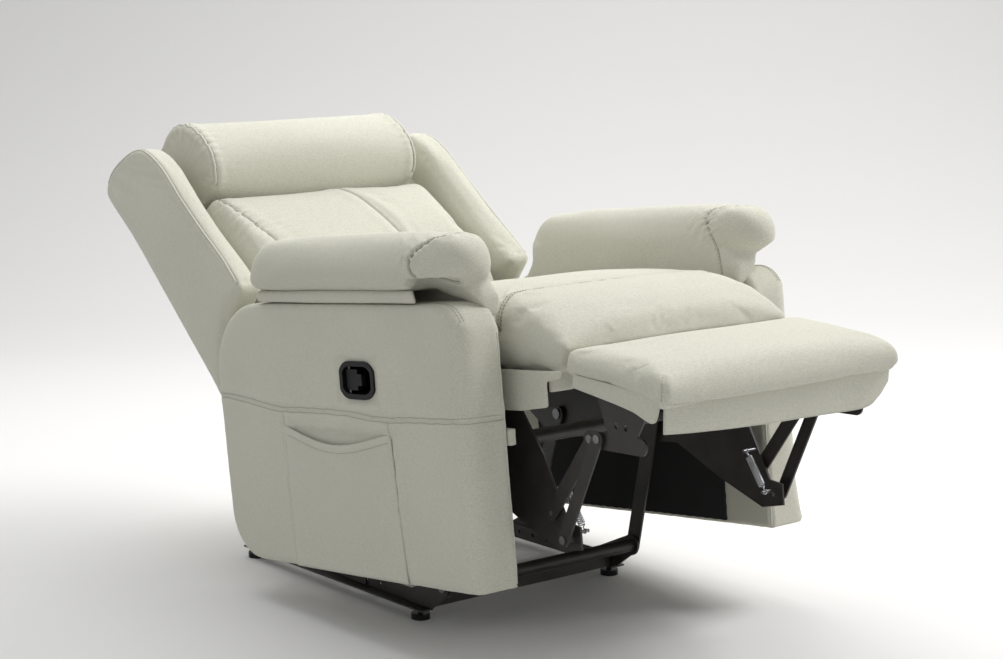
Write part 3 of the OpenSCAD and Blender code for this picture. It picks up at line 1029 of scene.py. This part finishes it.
# below the cushion: a panel and a small front tab on each side, and a strip across the front
APRON_SIDE = [(-66, 299), (0, 291), (590, 293), (590, 357), (-106, 360), (-101, 346), (-67, 341)]
APRON_TAB = [(2, 236), (70, 236), (70, 264), (2, 264)]
APRON_FRONT = [(-62, 322), (-55, 322), (-55, 357), (-62, 357)]
apron_parts = []
for side in (-1, 1):
    panel_x = sorted((side * 263.5, side * 270.5))
    tab_x = sorted((side * 281, side * 297))
    apron_parts.append(soft_box(APRON_SIDE, *panel_x, 3, 3, 0, 0, 6))
    apron_parts.append(soft_box(APRON_TAB, *tab_x, 4, 4, 0, 0, 4))
apron_parts.append(soft_box(APRON_FRONT, -255, 255, 3, 3, 0, 0, 3))
apron = blob("seat_apron_cloth", apron_parts, BODY, 2.8, 2)
dimple(apron, 1.2, 14.0, 2.5)
finish_piece(apron, "body", ["seat_apron"])


# ---- footrest ----
REST = [(-1, -3), (-1, -40), (-14, -41.5), (-216, -41.5), (-219, -55)] \
    + arc(-219, -30, 25, 264, 108, 8) + [(-200, 0), (-90, 2), (-10, 1)]


def rest_rim(y, z):
    return 10 + 8 * clamp01((z + 30) / 20)


rest_box = soft_box(REST, -REST_HALF, REST_HALF, rest_rim, rest_rim, 0, 0, 8)
rest_pad = blob("footrest_skin", [rest_box], FOOT, 5.0, 6)
front_rays = from_front([(-262, -46), (-200, -51), (-100, -54), (0, -55), (100, -55), (200, -54),
                         (262, -46)], -300)
front_line = only_points(shoot(rest_pad, front_rays, FOOT, 120))
corner_rays = [((-290, -255, z), (0.7, 0.7, 0)) for z in (-38, -28, -16, -6)]
corner_line = only_points(shoot(rest_pad, corner_rays, FOOT, 30))
puff(rest_pad, pressure=3.0, cap=9.0, frames=14, pins=[front_line], pin_reach=6.0)
subdivide(rest_pad)
groove(rest_pad, [front_line, corner_line], depth=1.6, width=3.2, rise=1.0, reach=16)
gathers(rest_pad, [front_line], reach=30, height=0.9, pitch=15.0, seed=2.0)
dimple(rest_pad, 1.6, 7.0, 4.0)
front_run = shoot(rest_pad, front_rays, FOOT, 120)
corner_run = shoot(rest_pad, corner_rays, FOOT, 30)
rest_thread = stitches("footrest_stitches", [beside(rest_pad, front_run, 4.0),
                                             beside(rest_pad, corner_run, 3.0)],
                       pitch=6.2, length=4.2, radius=0.5)
finish_piece(rest_pad, "footrest", ["footrest_pad"])
finish_piece(rest_thread, "footrest")


def hanging(name, seam_points, hem_points, outward, seed):
    """A hanging strip of cloth between its seam and its hem, with soft waves."""
    columns, rows, thick = 90, 14, 2.4
    top, low = curve(seam_points, columns), curve(hem_points, columns)
    outward = Vector(outward)
    front, back = [], []
    for j in range(rows + 1):
        v = j / rows
        for i in range(columns + 1):
            p = Vector(top[i]).lerp(Vector(low[i]), v)
            wave = 1.6 * v * noise.noise((p.x / 60, p.y / 60, seed))
            front.append(tuple(p + outward * (wave + thick)))
            back.append(tuple(p + outward * wave))
    return make(name, *shell(front, back, columns, rows), M_FABRIC, FOOT)


flap = hanging("footrest_flap",
               [(-258, -223, -42), (-120, -224, -47), (0, -224, -48), (120, -224, -47),
                (262, -223, -42)],
               [(-254, -221, -96), (-180, -223, -101), (-60, -225, -107), (90, -226, -110),
                (200, -224, -112), (240, -222, -97), (262, -222, -74)], (0, -1, 0), 3.0)
side_parts = []
for side in (-1, 1):
    x = side * 262
    side_parts.append(hanging("footrest_side" + str(side),
                              [(x, -224, -36), (x, -120, -36), (x, -20, -36)],
                              [(x, -222, -48), (x, -208, -80), (x, -160, -70), (x, -90, -63),
                               (x, -20, -58)], (side, 0, 0), 5.0))
sides = join("footrest_side_cloth", side_parts)
finish_piece(flap, "footrest", ["footrest_skirt"])
finish_piece(sides, "footrest")
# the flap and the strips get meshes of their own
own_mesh(flap)
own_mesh(sides)


# ---- back ----
def smooth_outline(start, points):
    """A closed outline: straight through start, then a smooth run through points."""
    return start + [(q[0], q[1]) for q in curve([(*p, 0) for p in points], 60)]


WING = smooth_outline([(100, 48), (141.5, -12), (141.5, 590)],
                      [(138, 612), (112, 621), (80, 622), (36, 609), (-10, 584), (-40, 548),
                       (-57, 490), (-62, 398), (-68, 311), (-77, 230), (-83, 160), (-78, 140),
                       (-58, 136), (0, 125), (55, 92)])


wing = blob("wing_skin_right", [soft_box(WING, WING_OUT, WING_IN, 9, 14, 3, 1)], BACK, 5.0, 4)
calm(wing)
wing_rim = [(110, 618), (91, 622), (36, 609), (-14, 583), (-40, 552), (-58, 490), (-62, 398),
            (-69, 311), (-79, 230), (-81, 160)]
wing_rays = []
for y, z in wing_rim:
    lift, dip = (20, -0.5) if z > 600 else (0, 0)
    wing_rays.append(((WING_OUT - 30, y - 30, z + lift), (0.7, 0.7, dip)))
wing_line = only_points(shoot(wing, wing_rays, BACK, 150))
puff(wing, pressure=3.0, cap=8.0, frames=14, pins=[wing_line], pin_reach=7.0)
groove(wing, [wing_line], depth=1.4, width=2.8, rise=1.0, reach=16)
dimple(wing, 1.6, 6.0, 11.0)
wing_run = shoot(wing, wing_rays, BACK, 150)
wing_left = mirror(wing, "wing_skin_left", 4.0)
wing_thread = stitches("wing_stitches_right", [beside(wing, wing_run, 4.0)],
                       pitch=6.4, length=4.3, radius=0.5)
wing_pipe = tube("wing_piping_right", [p + n * 0.0008 for p, n in wing_run[::2]], 1.9,
                 M_PIPING_HIGHLIGHT)
finish_piece(wing, "back", ["wing_right"])
finish_piece(wing_left, "back", ["wing_left"])
finish_both(wing_thread, "wing_stitches_left", "back")
finish_both(wing_pipe, "wing_piping_left", "back")

LUMBAR = smooth_outline([(60, -6), (60, 430), (0, 431)],
                        [(-24, 428), (-40, 404), (-53, 362), (-68, 287), (-76, 207),
                         (-72, 150), (-58, 100), (-34, 40), (-6, -6)])


def lumbar_rim(y, z):
    return 9 + 22 * clamp01((20 - y) / 70)


lumbar_box = soft_box(LUMBAR, -SEAT_HALF, SEAT_HALF, lumbar_rim, lumbar_rim, 0, 0, 8)
lumbar = blob("lumbar_skin", [lumbar_box], BACK, 6.0, 6)
near_rays = from_front([(-243, 418), (-237, 380), (-229, 340), (-218, 300), (-203, 250),
                        (-188, 200), (-176, 140), (-170, 80)], -200)
far_rays = from_front([(46, 420), (62, 380), (72, 335), (80, 290), (86, 240), (90, 180),
                       (92, 80)], -200)
near_line = only_points(shoot(lumbar, near_rays, BACK, 110))
far_line = only_points(shoot(lumbar, far_rays, BACK, 110))
puff(lumbar, pressure=3.2, cap=16.0, frames=16, pins=[near_line, far_line], pin_reach=8.0)
subdivide(lumbar)
groove(lumbar, [near_line, far_line], depth=2.4, width=4.5, rise=1.8, reach=40)
gathers(lumbar, [near_line], reach=46, height=3.2, pitch=12.0, seed=4.0)
dimple(lumbar, 1.8, 6.0, 5.0)
near_run = shoot(lumbar, near_rays, BACK, 110)
far_run = shoot(lumbar, far_rays, BACK, 110)
lumbar_runs = (near_run, far_run)
lumbar_thread = stitches("lumbar_stitches", [beside(lumbar, run, 4.0) for run in lumbar_runs],
                         pitch=6.4, length=4.3, radius=0.5)
# Dark thread-coloured tubes laid in the seams' grooves: painted shade of the creases.
lumbar_seam_shade = join("lumbar_seam_shades", [tube("a", only_points(run)[::2], 0.9, M_THREAD_AND_SHADE, 6)
                                    for run in lumbar_runs])
finish_piece(lumbar, "back", ["back_cushion"])
finish_piece(lumbar_thread, "back")
finish_piece(lumbar_seam_shade, "back")

HEAD = smooth_outline([(60, 440), (60, 624), (40, 633)],
                      [(6, 634), (-28, 625), (-57, 602), (-78, 566), (-87, 520), (-82, 484),
                       (-66, 458), (-42, 444), (-8, 440)])


head = blob("headrest_skin", [soft_box(HEAD, -HEAD_HALF, HEAD_HALF, 12, 12, 2, 2, 7)],
            BACK, 5.5, 4)
end_rays = [((-HEAD_HALF + 30, y + 40 * ay, z + 40 * az), (-0.5, -ay, -az)) for y, z, ay, az in (
    (30, 633, 0, 1), (6, 634, -0.1, 1), (-28, 625, -0.4, 0.9), (-57, 602, -0.7, 0.7),
    (-78, 566, -0.9, 0.4), (-87, 520, -1, 0), (-82, 484, -0.95, -0.3),
    (-66, 458, -0.7, -0.7), (-42, 444, -0.4, -0.9))]
end_line = only_points(shoot(head, end_rays, BACK, 130))
other_line = [Vector((-p.x, p.y, p.z)) for p in end_line]
puff(head, pressure=3.4, cap=16.0, frames=16, pins=[end_line, other_line], pin_reach=9.0)
subdivide(head)
groove(head, [end_line, other_line], depth=1.8, width=3.6, rise=1.6, reach=24)
gathers(head, [end_line, other_line], reach=38, height=2.0, pitch=12.0, seed=7.0)
dimple(head, 2.0, 6.0, 2.0, (0.6, 1, 1))
end_run = shoot(head, end_rays, BACK, 130)
head_pipe = tube("headrest_piping_right", [p + n * 0.0012 for p, n in end_run[::2]], 2.5,
                 M_PIPING_HIGHLIGHT)
head_thread = stitches("headrest_stitches_right", [beside(head, end_run, 5.0)],
                       pitch=6.4, length=4.3, radius=0.5)
finish_piece(head, "back", ["headrest"])
finish_both(head_pipe, "headrest_piping_left", "back")
finish_both(head_thread, "headrest_stitches_left", "back")

PANEL_IN, PANEL_OUT = 136.5, 143


def panel_part(low, high, half):
    """A flat piece of the rear panel between two heights."""
    return soft_box([(PANEL_IN, low), (PANEL_OUT, low), (PANEL_OUT, high), (PANEL_IN, high)],
                    -half, half, 3, 3, 0, 0, 3)


rear = blob("back_panel_cloth", [panel_part(-14, 608, PANEL_HALF), panel_part(-60, -10, 286)],
            BACK, 3.2, 2)
dimple(rear, 1.0, 6.0, 12.0)
finish_piece(rear, "back", ["back_panel"])

# the panel's cloth is turned over the top of the frame, and closes the gaps beside the pads
TOP = [(50, 592.5), (PANEL_OUT, 592.5), (PANEL_OUT, 610), (126, 621), (90, 624), (50, 624)]
GAP = [(20, 255), (28, 255), (28, 600), (20, 600)]
top = blob("back_top_cloth", [soft_box(TOP, -PANEL_HALF, PANEL_HALF, 3, 3, 0, 0, 6)], BACK, 4.0, 4)
gap_left = blob("back_gap_cloth_left", [soft_box(GAP, 256, 299, 2, 2, 0, 0, 6)], BACK, 3.0, 2)
for piece in (top, gap_left, mirror(gap_left, "back_gap_cloth_right")):
    finish_piece(piece, "back")


# ---- springs ----
def spring(name, x):
    """A tension spring hooked on the two posts of a seat plate."""
    a, b = Vector((x, -32, 159)), Vector((x, -72, 88))
    axis = (b - a).normalized()
    side = Vector((1, 0, 0))
    third = axis.cross(side)
    length = (b - a).length
    turns, per_turn, coil_r, hook_r = 17, 14, 5.7, 3.6
    body0, body1 = 12.0, length - 12.0

    def hook(centre):
        points = []
        for i in range(9):
            w = math.pi * 2 * i / 9
            points.append(centre + side * hook_r * math.sin(w) * 0.4
                          + axis * (-hook_r * math.cos(w)) + third * hook_r * math.sin(w))
        return points

    path = hook(a) + [a + axis * 7]
    for i in range(turns * per_turn + 1):
        w = 2 * math.pi * i / per_turn
        run = body0 + (body1 - body0) * i / (turns * per_turn)
        path.append(a + axis * run + (side * math.cos(w) + third * math.sin(w)) * coil_r)
    path += [b - axis * 7] + hook(b)
    return tube(name, [BODY @ (p * MM) for p in path], 1.15, M_SPRING, 8)


spring_right = spring("spring_right", -212)
spring_left = spring("spring_left", 212)
finish_piece(spring_right, "body", ["mechanism_springs"])
finish_piece(spring_left, "body", [])
